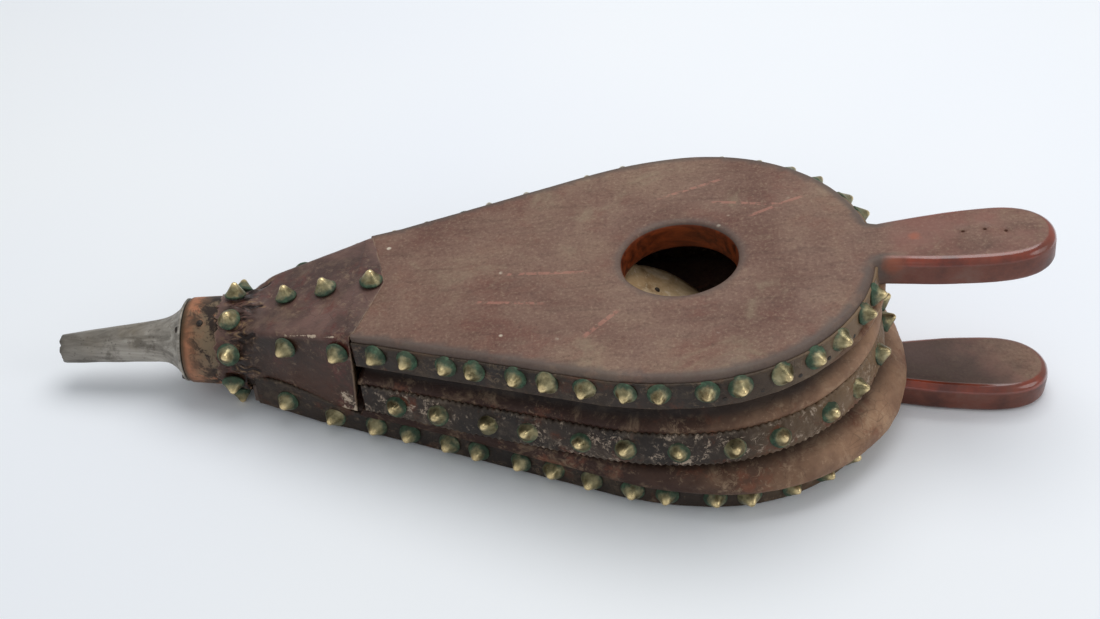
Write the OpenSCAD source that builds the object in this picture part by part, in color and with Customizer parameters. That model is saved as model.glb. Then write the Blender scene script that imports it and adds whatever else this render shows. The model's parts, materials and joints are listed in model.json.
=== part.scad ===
// Hand bellows for a forge, lying on its lower board.
// +X runs towards the handles, -X towards the nozzle, +Z up; the origin is the middle of the footprint.
// Every X below is measured from the hinge line, where the upper board meets the head block.

/* [Boards] */
// Thickness of both boards
board_t = 16; // [14:0.5:18]
// Radius of the boards' round rear end
belly_r = 90; // [86:0.5:94]
// Half width of the boards at the hinge line
hinge_hw = 41.5; // [40:0.5:43]
// Angle between a board's straight side and its centre line
taper_angle = 19; // [18.5:0.1:19.5]
// Hinge line to the centre of the upper board's round end
belly_x = 167; // [165:0.5:169]
// How much further back the rib sits than the upper board
rib_shift = 5; // [4:0.5:6]
// How much further back the lower board sits than the upper board
lower_shift = 10; // [8:0.5:12]
// Height of the hinge line, on the upper board's top face
hinge_z = 65.2; // [64.5:0.1:66]
// Pitch of the upper board at rest
upper_pitch = 6.3; // [6:0.1:6.6]

/* [Handles] */
// Length of a handle behind the round end
handle_len = 87; // [84:0.5:90]
// Half width of a handle where it leaves the board
handle_neck_hw = 16.4; // [15:0.1:17]
// Greatest half width of a handle
handle_hw = 21.5; // [20:0.1:23]

/* [Air intake and valve] */
// Diameter of the intake hole in the upper board
intake_d = 58; // [54:0.5:62]
// Hinge line to the intake hole's centre
intake_x = 162; // [158:0.5:166]
// Radius of the valve flap
flap_r = 36; // [34:0.5:38]
// How far the valve flap hangs open at rest
flap_droop = 35; // [33:1:35]

/* [Rib] */
// Thickness of the rib frame
rib_t = 10; // [9:0.5:11]
// Width of the rib frame's rails
rib_rail = 16; // [12:0.5:20]
// Height of the rib's middle at the hinge line
rib_z = 25.7; // [25:0.1:26.5]
// Pitch of the rib at rest
rib_pitch = 5; // [4.8:0.1:5.2]

/* [Head and nozzle] */
// Length of the head block in front of the hinge line
head_len = 58; // [56:0.5:60]
// Height of the head block's top at its front end
head_front_z = 50.5; // [49.5:0.1:51.5]
// Length of the turned neck
neck_len = 35; // [33:0.5:37]
// Radius of the neck at the head block
neck_r = 24.3; // [23.5:0.1:24.5]
// Radius of the neck at the nozzle's flange
neck_front_r = 22.4; // [22:0.1:23]
// Height of the neck's axis
neck_z = 28; // [27.5:0.1:28.5]
// Length of the nozzle in front of the neck
nozzle_len = 69; // [66:0.5:72]
// Radius of the nozzle at its tip
tip_r = 7.5; // [7:0.1:8]
// Radius of the nozzle's bore
bore_r = 5; // [4.5:0.1:5.5]
// Angle at which the nozzle's tube droops
droop = 6.5; // [5.5:0.1:7]

/* [Leather] */
// Thickness of the edge strips and the cuff
leather_t = 1.5; // [1.2:0.1:2]
// Width of the strip on the upper board
upper_strip_w = 14.5; // [14:0.5:15]
// Width of the strip on the lower board
lower_strip_w = 13.5; // [12:0.5:14]
// Width of the strip on the rib
rib_strip_w = 18; // [16:0.5:18]

/* [Studs] */
// Radius of a stud's base
stud_r = 5.8; // [5.5:0.1:6.1]
// Height of a stud's cone
stud_h = 7.5; // [7:0.1:8]
// Studs on each side of the upper board
upper_studs_n = 16; // [14:1:16]
// Studs on each side of the rib
rib_studs_n = 13; // [11:1:13]
// Studs on each side of the lower board
lower_studs_n = 18; // [16:1:18]
// Studs around the neck
ring_studs_n = 9; // [7:1:9]

/* [Hidden] */
$fn = 48;

tip_x = -head_len - neck_len - nozzle_len;
tail_x = belly_x + lower_shift + belly_r + handle_len;
hinge_x = -(tip_x + tail_x) / 2;          // puts the origin in the middle of the length

// Outline of a board's side: a straight taper, a wide arc and the round end, all tangent.
side_r = (hinge_hw + tan(taper_angle) * belly_x - belly_r) / (1 / cos(taper_angle) - 1);
taper_len = (belly_x - side_r * sin(taper_angle)) / cos(taper_angle);
side_len = side_r * taper_angle * PI / 180;
round_len = belly_r * PI / 2;
edge_len = taper_len + side_len + round_len;
round_steps = 24;
side_steps = 8;

// Near the head the lower board's sides taper less, so it is as wide as the head block there.
bend_t = 20;
front_bend = 2;
front_t = bend_t - (head_len - 0.6 + lower_shift + edge(bend_t)[0]) / cos(taper_angle - front_bend);

clear = 0.3;                              // gap around soft solids and moving pieces
closing_angle = 7.5;                      // how far the upper board closes from rest
front_gap = 4.5;                          // between the head block and the rib
head_gap = 2;                             // between the head block and the hinge line
rise_x = -22;                             // where the lower board's underside starts to rise
rise_angle = 6.2;
flange_r = 21.3;
throat_x = -head_len - neck_len - 14;     // where the nozzle's flare has become its tube
throat_r = 11.4;
spigot_r = 8.5;
spigot_len = 20;
channel_r = 8;                            // air channel through the head block
handle_straight = 0.62;                   // share of the handle before its end rounds off
flap_hinge_x = intake_x - 34;
flap_t = 2.2;
backing_t = 2.5;

// Point of the side at a distance t from the hinge line along it: [x, y, direction of the outward normal].
function edge(t, bend = 0) =
    t < bend_t && bend > 0 ? let(b = edge(bend_t), a = taper_angle - bend)
        [b[0] + (t - bend_t) * cos(a), b[1] + (t - bend_t) * sin(a), a]
    : t < taper_len ? [t * cos(taper_angle), hinge_hw + t * sin(taper_angle), taper_angle]
    : t < taper_len + side_len ? arc_point(side_r, taper_angle - (t - taper_len) / side_r * 180 / PI)
    : arc_point(belly_r, -(t - taper_len - side_len) / belly_r * 180 / PI);
function arc_point(r, a) = [belly_x - r * sin(a), belly_r - r + r * cos(a), a];

// The same point moved outwards by d.
function edge_at(t, d, bend = 0) = let(e = edge(t, bend)) [e[0] - d * sin(e[2]), e[1] + d * cos(e[2])];

// Places along the side where the outline's corners lie.
function stations(start) = concat(
    start < bend_t ? [start, bend_t] : [start],
    [for (i = [0 : side_steps - 1]) taper_len + side_len * i / side_steps],
    [for (i = [0 : round_steps]) taper_len + side_len + round_len * i / round_steps]);

function handle_half(v) =
    handle_neck_hw + (handle_hw - handle_neck_hw) * sin(90 * min(1, v / handle_straight));
function handle_points() = let(x0 = belly_x + belly_r + 6, len = handle_len - 6) concat(
    [[x0 - 12, handle_neck_hw]],
    [for (i = [0 : 8]) let(v = handle_straight * i / 8) [x0 + len * v, handle_half(v)]],
    [for (a = [7.5 : 7.5 : 90]) let(v = handle_straight + (1 - handle_straight) * sin(a))
        [x0 + len * v, handle_half(v) * pow(max(0, 1 - pow(sin(a), 2.6)), 0.5)]]);

module both_sides() {
    children();
    mirror([0, 1, 0]) children();
}

// A closed outline from its half on the +Y side, listed from front to rear.
module whole_outline(half) {
    n = len(half);
    polygon(concat(half, [for (i = [n - 1 : -1 : 0]) if (half[i][1] > 0.01) [half[i][0], -half[i][1]]]));
}

// Outline of the board, the rib or a skin around them, grown by d, starting at a distance start.
module outline(d = 0, start = 0, bend = 0) {
    whole_outline([for (t = stations(start)) edge_at(t, d, bend)]);
}

// A band of leather lying on the side, from height low to high.
module band(d0, d1, low, high, start = 0, front = 0, bend = 0) {
    translate([0, 0, low]) linear_extrude(high - low) difference() {
        outline(d1, start, bend);
        outline(d0, start - 20, bend);
        translate([front - 200, -150]) square([200, 300]);
    }
}

// Leaves room for the handle in a skin around the board.
module handle_room() {
    translate([belly_x, -handle_neck_hw - clear, -50])
        cube([belly_r + 20, 2 * (handle_neck_hw + clear), 100]);
}

// Conical nail: a low rim, a cone with a rounded tip and a shank that goes into the wood.
module stud(shank = 10) {
    rotate_extrude($fn = 24) polygon([
        [0, -shank], [1.1, -shank + 2], [1.1, 0], [stud_r, 0], [stud_r + 0.1, 0.6], [stud_r - 0.5, 1.2],
        [1.9, stud_h - 1.1], [1.1, stud_h - 0.3], [0, stud_h]]);
}

module tack(r = 1.7, h = 0.9, shank = 5) {
    rotate_extrude($fn = 16)
        polygon([[0, -shank], [0.6, -shank + 1.5], [0.6, 0], [r, 0], [r * 0.8, h * 0.7], [0, h]]);
}

// Puts a child on the side, its own Z pointing outwards.
module on_side(t, d, z, bend = 0) {
    e = edge_at(t, d, bend);
    translate([e[0], e[1], z]) rotate([0, 0, edge(t, bend)[2]]) rotate([-90, 0, 0]) children();
}

// Hand-set studs are never quite even.
function uneven(i) = 1.8 * sin(i * 211);

function stud_t(i, n, first, last) = first + (last - first) * i / (n - 1) + uneven(i);

module stud_row(n, first, last, z, bend = 0) {
    for (i = [0 : n - 1]) both_sides() on_side(stud_t(i, n, first, last), leather_t, z, bend) stud();
}

// Frames in which the three flat bodies are drawn, X along the board from the hinge line.
module in_upper_frame() {
    translate([hinge_x, 0, hinge_z]) rotate([0, -upper_pitch, 0]) translate([0, 0, -board_t]) children();
}
module in_rib_frame() {
    translate([hinge_x, 0, rib_z]) rotate([0, -rib_pitch, 0]) translate([rib_shift, 0, 0]) children();
}
module in_lower_frame() {
    translate([hinge_x + lower_shift, 0, 0]) children();
}

// What the lower board's rising underside leaves out, in the lower frame.
module under_rise(grow = 0) {
    translate([rise_x - lower_shift, -60, grow]) rotate([0, rise_angle, 0]) translate([-80, 0, -40])
        cube([80, 120, 40]);
}

// Outer shape of the head block, grown by d, in a frame whose X is measured from the hinge line.
module head_shape(d) {
    intersection() {
        translate([0, 0, board_t]) linear_extrude(80) polygon([
            for (p = [[-head_gap, 1], [-head_len, 1], [-head_len, -1], [-head_gap, -1]])
                [p[0], p[1] * (hinge_hw + tan(taper_angle) * p[0] + d / cos(taper_angle))]]);
        translate([0, 80, 0]) rotate([90, 0, 0]) linear_extrude(160) polygon([
            [-head_gap, board_t], [-head_gap, hinge_z - 0.8 + d], [-head_len, head_front_z + d],
            [-head_len, board_t]]);
    }
}
module neck_shape(d, x0, x1) {
    function r_at(x) = neck_r + (neck_front_r - neck_r) * (-head_len - x) / neck_len;
    translate([x0, 0, neck_z]) rotate([0, 90, 0]) cylinder(r1 = r_at(x0) + d, r2 = r_at(x1) + d, h = x1 - x0);
}

module lower_board() {
    color("saddlebrown") in_lower_frame() difference() {
        linear_extrude(board_t) union() {
            outline(0, front_t, front_bend);
            whole_outline(handle_points());
        }
        under_rise();
        for (x = [-44, -14]) translate([x - lower_shift, 0, -1]) {
            cylinder(r = 2.25, h = 30);
            translate([0, 0, 0]) cylinder(r = 4.5, h = 7);
        }
    }
}

module head_block() {
    color("peru") translate([hinge_x, 0, 0]) difference() {
        union() {
            head_shape(0);
            neck_shape(0, -head_len - neck_len, -head_len);
        }
        translate([-head_len - neck_len - 1, 0, neck_z]) rotate([0, 90, 0]) cylinder(r = spigot_r + 0.05, h = 22);
        translate([-head_len - neck_len, 0, neck_z]) rotate([0, 90, 0]) cylinder(r = channel_r, h = 100);
    }
}

module head_screws() {
    color("dimgray") for (x = [-44, -14]) translate([hinge_x + x, 0, 0.2])
        rotate_extrude($fn = 24) polygon([[0, 2.5], [4.2, 2.5], [4.2, 4], [2.2, 5.8], [2.2, 17], [0, 19]]);
}

// Flared flange and a drooping tube, bored through.
module nozzle() {
    face = -head_len - neck_len;
    tube = nozzle_len - 14;
    color("slategray") translate([hinge_x, 0, neck_z]) difference() {
        union() {
            translate([throat_x - 1, 0, 0]) rotate([0, 90, 0]) rotate_extrude() polygon([
                [0, 0], [throat_r - 1.2, 0], [throat_r, 3], [throat_r + 1.2, 6], [throat_r + 3.2, 9],
                [throat_r + 5.8, 11.2], [flange_r - 0.8, 12.8], [flange_r, 13.4], [flange_r, 15], [0, 15]]);
            translate([face - 0.5, 0, 0]) rotate([0, 90, 0]) cylinder(r = spigot_r, h = spigot_len);
            intersection() {
                translate([throat_x, 0, 0]) rotate([0, -90 - droop, 0])
                    translate([0, 0, -2]) cylinder(r1 = throat_r + 0.1, r2 = tip_r, h = tube + 3.5);
                translate([tip_x, -30, -40]) cube([nozzle_len, 60, 80]);
            }
        }
        translate([throat_x, 0, 0]) rotate([0, -90 - droop, 0]) cylinder(r = bore_r, h = tube + 10);
        translate([throat_x - 2, 0, 0]) rotate([0, 90, 0]) cylinder(r = bore_r + 0.6, h = 60);
    }
}

module nozzle_nails() {
    color("darkslategray") for (a = [35 : 90 : 305])
        translate([hinge_x - head_len - neck_len - 2, 0, neck_z]) rotate([a, 0, 0])
            translate([0, 0, flange_r - 1.9]) rotate([0, -90, 0]) tack(1.9, 1.6, 12);
}

module neck_tack() {
    color("dimgray") translate([hinge_x - head_len - 25, 0, neck_z]) rotate([28, 0, 0])
        translate([0, 0, neck_r - 1.4]) tack();
}

// Leather wrapped round the head block and the start of the neck.
module front_cuff() {
    color("#3b2a26") translate([hinge_x, 0, 0]) difference() {
        union() {
            difference() {
                head_shape(leather_t);
                translate([-100, -100, 0]) cube([100, 200, board_t - 0.9]);
            }
            neck_shape(leather_t, -head_len - 19, -head_len + 1);
        }
        head_shape(0);
        translate([-head_len, -21, board_t - 1]) cube([head_len, 42, 3]);
        neck_shape(0, -head_len - neck_len, -head_len + 1.01);
        translate([-head_len, -60, -20]) cube([head_len, 120, board_t + 20 - 0.9]);
    }
}

// The place underneath stays free, so that the bellows lies flat.
module neck_ring_studs() {
    color("darkkhaki") for (a = [-13.5 : 360 / ring_studs_n : 345]) if (cos(a) > -0.86)
        translate([hinge_x - head_len - 9, 0, neck_z]) rotate([a, 0, 0])
            translate([0, 0, neck_r + leather_t - 0.6]) stud();
}

module cuff_studs() {
    top_angle = atan((hinge_z - 0.8 - head_front_z) / (head_len - head_gap));
    color("darkkhaki") translate([hinge_x, 0, 0]) {
        for (x = [-39, -18])
            translate([x, 0, head_front_z + (x + head_len) * tan(top_angle) + leather_t])
                rotate([0, -top_angle, 0]) stud();
        both_sides() for (p = [[-35, 49.5], [-7, 54.5]])
            translate([p[0], hinge_hw + tan(taper_angle) * p[0] + leather_t / cos(taper_angle), p[1]])
                rotate([0, 0, taper_angle]) rotate([-90, 0, 0]) stud();
    }
}

module lower_edge_strip() {
    color("#2e2420") in_lower_frame() difference() {
        band(0, leather_t, 0.8, 0.8 + lower_strip_w, -72, -65, front_bend);
        handle_room();
        under_rise(0.8);
    }
}

module lower_row_studs() {
    color("darkkhaki") in_lower_frame() {
        stud_row(lower_studs_n - 2, -1, edge_len - 26, board_t / 2, front_bend);
        both_sides() on_side(-24, leather_t, board_t / 2, front_bend) stud();
        both_sides() on_side(-50, leather_t, board_t / 2 + 1.7, front_bend) stud();
    }
}

// Space between two pitched planes: above the first, below the second.
module between(z0, pitch0, z1, pitch1) {
    translate([hinge_x, 0, 0]) intersection() {
        translate([0, 0, z0]) rotate([0, -pitch0, 0]) translate([-50, -150, 0]) cube([500, 300, 200]);
        translate([0, 0, z1]) rotate([0, -pitch1, 0]) translate([-50, -150, -200]) cube([500, 300, 200]);
    }
}

module lower_leather() {
    color("#5a4035") intersection() {
        translate([hinge_x + rib_shift, 0, 0]) band(-3.2, -0.8, 0, 90, 6, 2);
        between(board_t + clear, 0, rib_z - rib_t / 2 - clear, rib_pitch);
    }
}

module rib_frame() {
    color("burlywood") in_rib_frame() translate([0, 0, -rib_t / 2]) linear_extrude(rib_t) difference() {
        outline(0, 0);
        difference() {
            outline(-rib_rail, 0);
            translate([-20, -100]) square([20 + front_gap + rib_rail, 200]);
        }
        translate([-20, -100]) square([20 + front_gap - rib_shift, 200]);
    }
}

module rib_edge_strip() {
    color("#4a3a33") in_rib_frame()
        band(0, leather_t, -rib_strip_w / 2, rib_strip_w / 2, -8, -3.6);
}

module rib_row_studs() {
    color("darkkhaki") in_rib_frame() stud_row(rib_studs_n, 18, edge_len - 8, 0);
}

module upper_board() {
    relief = closing_angle + 1.5;
    color("saddlebrown") in_upper_frame() difference() {
        linear_extrude(board_t) union() {
            outline();
            whole_outline(handle_points());
        }
        translate([clear, -60, board_t]) rotate([0, -relief, 0]) translate([-20, 0, -40]) cube([20, 120, 60]);
        translate([intake_x, 0, -1]) cylinder(r = intake_d / 2, h = board_t + 2);
        for (p = [[300, 1.6], [310.5, 1.9], [320, -0.9]]) translate([p[0], p[1], board_t - 5]) cylinder(r = 0.8, h = 6);
    }
}

module upper_edge_strip() {
    color("#2e2420") in_upper_frame() difference() {
        band(0, leather_t, board_t - 2.8 - upper_strip_w, board_t - 2.8, -2, 0.9);
        handle_room();
    }
}

module upper_row_studs() {
    color("darkkhaki") in_upper_frame() stud_row(upper_studs_n, 13.5, edge_len - 30, board_t / 2);
}

module upper_leather() {
    color("#7d5f48") intersection() {
        translate([hinge_x, 0, 0]) band(-5.4, -3, 0, 120, 6, 2);
        between(rib_z + rib_t / 2 + clear, rib_pitch,
                hinge_z - board_t / cos(upper_pitch) - clear, upper_pitch);
    }
}

// Small tacks between the six rearmost studs' places.
module upper_edge_tacks() {
    function place(i) = stud_t(i, upper_studs_n, 13.5, edge_len - 30);
    color("dimgray") in_upper_frame() for (i = [upper_studs_n - 7 : upper_studs_n - 2])
        both_sides() on_side((place(i) + place(i + 1)) / 2, leather_t, 2.4) tack(1.3, 0.7, 5);
}

// Point of the cuff that laps over the upper board and is nailed to it.
module cuff_flap() {
    color("#3b2a26") in_upper_frame() translate([0, 0, board_t]) linear_extrude(leather_t)
        polygon([[0.6, -hinge_hw], [1.6, -hinge_hw], [12.5, -4], [12.5, 4], [1.6, hinge_hw], [0.6, hinge_hw]]);
}

module cuff_flap_stud() {
    color("darkkhaki") in_upper_frame() translate([6, 0, board_t + leather_t]) stud();
}

module valve_hinge_strip() {
    color("#c8ab84") in_upper_frame() translate([flap_hinge_x - 18.2, -28, -flap_t]) cube([15, 56, flap_t]);
}

module valve_batten() {
    color("burlywood") in_upper_frame() translate([flap_hinge_x - 17.2, -28, -flap_t - 4]) cube([10, 56, 4]);
}

module valve_tacks() {
    color("dimgray") in_upper_frame() for (y = [-20, 0, 20])
        translate([flap_hinge_x - 12.2, y, -flap_t - 4]) mirror([0, 0, 1]) tack(2.5, 1.2, 12);
}

// Frame of the valve flap, hanging open from its hinge line.
module in_flap_frame() {
    in_upper_frame() translate([flap_hinge_x, 0, 0]) rotate([0, flap_droop, 0])
        translate([-flap_hinge_x, 0, -0.4]) children();
}

module valve_flap() {
    color("#d8c09a") in_flap_frame() translate([0, 0, -flap_t]) linear_extrude(flap_t) intersection() {
        union() {
            translate([intake_x, 0]) circle(r = flap_r);
            translate([flap_hinge_x, -28]) square([30, 56]);
        }
        translate([flap_hinge_x + 0.8, -60]) square([120, 120]);
    }
}

module valve_backing() {
    color("burlywood") in_flap_frame() translate([intake_x, 0, -flap_t - backing_t])
        cylinder(r = 24, h = backing_t);
}

module backing_tacks() {
    color("darkslategray") in_flap_frame() for (a = [0 : 60 : 300])
        translate([intake_x + 17 * cos(a), 17 * sin(a), 0]) tack(1.5, 0.8, 4.2);
}

lower_board();
head_block();
head_screws();
nozzle();
nozzle_nails();
neck_tack();
front_cuff();
neck_ring_studs();
cuff_studs();
lower_edge_strip();
lower_row_studs();
lower_leather();
rib_frame();
rib_edge_strip();
rib_row_studs();
upper_board();
upper_edge_strip();
upper_row_studs();
upper_leather();
upper_edge_tacks();
cuff_flap();
cuff_flap_stud();
valve_hinge_strip();
valve_batten();
valve_tacks();
valve_flap();
valve_backing();
backing_tacks();
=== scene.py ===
"""Forge hand bellows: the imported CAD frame, dressed with worn wood, leather, brass studs and a pewter nozzle."""
import json
import random
from functools import partial, reduce
from math import asin, atan, atan2, cos, exp, hypot, pi, radians, remainder, sin, tan

import bpy
import numpy as np
from mathutils import Matrix, Vector, geometry, noise


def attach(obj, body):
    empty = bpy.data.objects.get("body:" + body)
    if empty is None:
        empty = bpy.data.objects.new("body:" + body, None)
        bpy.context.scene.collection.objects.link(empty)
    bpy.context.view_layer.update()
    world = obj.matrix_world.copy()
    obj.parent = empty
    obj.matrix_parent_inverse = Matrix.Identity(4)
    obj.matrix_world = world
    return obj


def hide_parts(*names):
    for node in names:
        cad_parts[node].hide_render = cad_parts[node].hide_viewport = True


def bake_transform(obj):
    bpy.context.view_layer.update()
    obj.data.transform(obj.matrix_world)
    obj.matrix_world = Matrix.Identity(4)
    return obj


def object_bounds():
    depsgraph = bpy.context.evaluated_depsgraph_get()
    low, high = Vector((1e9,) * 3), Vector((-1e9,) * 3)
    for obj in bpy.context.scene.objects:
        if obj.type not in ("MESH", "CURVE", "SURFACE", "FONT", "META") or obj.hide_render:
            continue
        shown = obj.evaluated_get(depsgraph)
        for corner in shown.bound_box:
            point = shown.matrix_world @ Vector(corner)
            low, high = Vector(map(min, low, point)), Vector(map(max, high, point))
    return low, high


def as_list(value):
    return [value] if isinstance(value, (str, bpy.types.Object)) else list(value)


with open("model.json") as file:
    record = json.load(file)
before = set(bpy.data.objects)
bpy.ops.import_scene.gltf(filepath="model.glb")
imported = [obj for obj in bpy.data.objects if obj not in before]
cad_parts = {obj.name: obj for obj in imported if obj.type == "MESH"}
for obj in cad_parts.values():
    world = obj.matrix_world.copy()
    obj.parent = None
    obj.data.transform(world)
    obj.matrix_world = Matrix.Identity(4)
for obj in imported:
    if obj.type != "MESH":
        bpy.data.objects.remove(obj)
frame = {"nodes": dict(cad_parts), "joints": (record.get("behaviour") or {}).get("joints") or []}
cad_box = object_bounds()

# ------------------------------------------------------------------ sizes, in mm, as part.scad has them
JOINTS = {j["name"]: j for j in frame["joints"]}
HINGE = 1000 * Vector(JOINTS["board_hinge"]["pos_m"])
UPPER_PITCH, RIB_PITCH = radians(6.3), radians(5)
RIB_Z, RIB_SHIFT, LOWER_SHIFT = 25.7, 5, 10
BOARD_T = 16
HINGE_HW, TAPER, BELLY_R, BELLY_X = 41.5, radians(19), 90, 167
HANDLE_LEN, HANDLE_NECK, HANDLE_HW, HANDLE_STRAIGHT = 87, 16.4, 21.9, 0.62
HOLE_X, HOLE_R = 162, 29
HEAD_LEN, NECK_LEN, NOZZLE_LEN = 58, 35, 69
NECK_Z, NECK_R, NECK_FRONT_R = 28, 24.3, 22.4
HEAD_FRONT_Z = 50.5
LEATHER_T, GUSSET_T, FLAP_T = 1.5, 1.1, 2.2
STUD_H = 7.2
FLAP_X, FLAP_DROOP, FLAP_R, FLAP_HW = HOLE_X - 34, radians(35), 36, 28
FLANGE_LEN, TUBE_DROOP = 14, radians(6.5)

SIDE_R = (HINGE_HW + tan(TAPER) * BELLY_X - BELLY_R) / (1 / cos(TAPER) - 1)
TAPER_LEN = (BELLY_X - SIDE_R * sin(TAPER)) / cos(TAPER)
SIDE_LEN = SIDE_R * TAPER
EDGE_LEN = TAPER_LEN + SIDE_LEN + BELLY_R * pi / 2

rnd = random.Random(7)


def wave(*co):
    """Smooth noise from -1 to 1 at a point."""
    return noise.noise(Vector((*co, 0, 0))[:3])


def smooth(a, b, x):
    """0 below a, 1 above b, and an even curve between."""
    x = min(1.0, max(0.0, (x - a) / (b - a)))
    return x * x * (3 - 2 * x)


def mix(a, b, t):
    return a + (b - a) * t


def circle(n):
    """Angle, cosine and sine of n even directions."""
    return [(a, cos(a), sin(a)) for a in (2 * pi * k / n for k in range(n))]


def tilt(x, z, pitch):
    """Shift along X and Z of a place x along and z up from a line that rises by pitch."""
    c, s = cos(pitch), sin(pitch)
    return x * c - z * s, x * s + z * c


# ------------------------------------------------------------------ outline and frames
def edge(t):
    """Point and outward direction of the board's side, at a distance t from the hinge line along it."""
    if t < TAPER_LEN:
        return (t * cos(TAPER), HINGE_HW + t * sin(TAPER), -sin(TAPER), cos(TAPER))
    if t < TAPER_LEN + SIDE_LEN:
        r, a = SIDE_R, TAPER - (t - TAPER_LEN) / SIDE_R
    else:
        r, a = BELLY_R, -(t - TAPER_LEN - SIDE_LEN) / BELLY_R
    return (BELLY_X - r * sin(a), BELLY_R - r + r * cos(a), -sin(a), cos(a))


def lower_edge(t):
    """The same for the lower board, whose sides taper less near the head."""
    if t > 20:
        return edge(t)
    x, y, _, _ = edge(20)
    a = TAPER - radians(2)
    return x + (t - 20) * cos(a), y + (t - 20) * sin(a), -sin(a), cos(a)


def rim(w, offset=0.0, side_of=edge):
    """Point of the whole edge: w is the distance from its rearmost point, negative on the -Y side."""
    side = 1 if w >= 0 else -1
    x, y, nx, ny = side_of(EDGE_LEN - abs(w))
    return x + nx * offset, side * (y + ny * offset)


def in_upper(x, y, z):
    """From along the upper board and up from its underside to the row frame."""
    x, z = tilt(x, z - BOARD_T, UPPER_PITCH)
    return Vector((HINGE.x + x, y, HINGE.z + z))


def in_rib(x, y, z):
    """From along the rib and up from its middle."""
    x, z = tilt(x + RIB_SHIFT, z, RIB_PITCH)
    return Vector((HINGE.x + x, y, RIB_Z + z))


def in_lower(x, y, z):
    """From along the lower board and up from the floor."""
    return Vector((HINGE.x + LOWER_SHIFT + x, y, z))


def in_head(x, y, z):
    """X from the hinge line, Z from the floor."""
    return Vector((HINGE.x + x, y, z))


# ------------------------------------------------------------------ meshes
def add_object(name, data):
    obj = bpy.data.objects.new(name, data)
    bpy.context.scene.collection.objects.link(obj)
    return obj


def thicken(obj, thickness, offset):
    """Gives a sheet its thickness in mm: offset 1 adds it outward and 0 to both sides."""
    shell = obj.modifiers.new("thickness", "SOLIDIFY")
    shell.thickness, shell.offset = thickness / 1000, offset


def piece(name, verts, faces, body, slot, material, replaces=(), **attributes):
    """A mesh in the row frame from points in mm, riding on a body. Points that no face uses are dropped."""
    used = sorted({k for f in faces for k in f})
    place = {k: i for i, k in enumerate(used)}
    mesh = bpy.data.meshes.new(name)
    mesh.from_pydata([Vector(verts[k]) / 1000 for k in used], [], [[place[k] for k in f] for f in faces])
    mesh.validate()
    for key, values in attributes.items():
        a = mesh.attributes.new(key, "FLOAT", "POINT")
        a.data.foreach_set("value", np.array([values[k] for k in used], np.float32))
    mesh.polygons.foreach_set("use_smooth", [True] * len(mesh.polygons))
    mesh.materials.append(material)
    mesh.update()
    obj = add_object(name, mesh)
    if body:
        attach(obj, body)
    if replaces:
        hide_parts(*replaces)
    return obj


def grid_faces(columns, rows, around=False, closed=False, start=0):
    """Quads of a grid of points. around joins the last row to the first, and closed the last column."""
    faces = []
    for i in range(columns if closed else columns - 1):
        a, b = i * rows, (i + 1) % columns * rows
        for j in range(rows if around else rows - 1):
            k = (j + 1) % rows
            faces.append((start + a + j, start + b + j, start + b + k, start + a + k))
    return faces


NET = 5.0                                  # spacing of the points on the flats of the boards
NET_ROW = NET * 0.87


def cap(ring, hole, pits):
    """Triangles that fill a flat outline, a list of (index, x, y), with an even net of points (x, y, depth).
    pits are the centres of small nail holes."""
    loops = [ring] + ([hole] if hole else [])
    points = [(x, y) for loop in loops for _, x, y in loop]
    keys = [i for loop in loops for i, _, _ in loop]
    edges, n = [], 0
    for loop in loops:
        edges += [(n + k, n + (k + 1) % len(loop)) for k in range(len(loop))]
        n += len(loop)

    def inside(x, y, loop):
        hit = False
        for (_, x0, y0), (_, x1, y1) in zip(loop, loop[1:] + loop[:1]):
            if (y0 > y) != (y1 > y) and x < (x1 - x0) * (y - y0) / (y1 - y0) + x0:
                hit = not hit
        return hit

    border = np.array(points)
    low, high = border.min(0), border.max(0)
    net = []
    for i in range(int((high[0] - low[0]) / NET) + 1):
        for j in range(int((high[1] - low[1]) / NET_ROW) + 1):
            x, y = low[0] + (i + 0.3 + 0.5 * (j % 2)) * NET, low[1] + j * NET_ROW
            if inside(x, y, ring) and not (hole and inside(x, y, hole)):
                clear = all(hypot(x - px, y - py) > NET * 0.6 for px, py in pits)
                if clear and np.hypot(border[:, 0] - x, border[:, 1] - y).min() > NET * 0.55:
                    net.append((x, y, 0))
    for px, py in pits:
        for r, depth in ((1.15, 0), (0.95, 0.4), (0.7, 2.2)):
            net += [(px + r * c, py + r * s, depth) for _, c, s in circle(10)]
        net.append((px, py, 2.6))
    flat = [Vector(q) for q in points] + [Vector(q[:2]) for q in net]
    co, _, tris, _, _, _ = geometry.delaunay_2d_cdt(flat, edges, [], 2, 1e-6)
    if len(co) != len(flat):
        raise RuntimeError("the outline crosses itself")
    middles = [(t, sum((co[k] for k in t), Vector((0, 0))) / 3) for t in tris]
    return keys, net, [t for t, c in middles if not (hole and inside(c.x, c.y, hole))]


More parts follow.
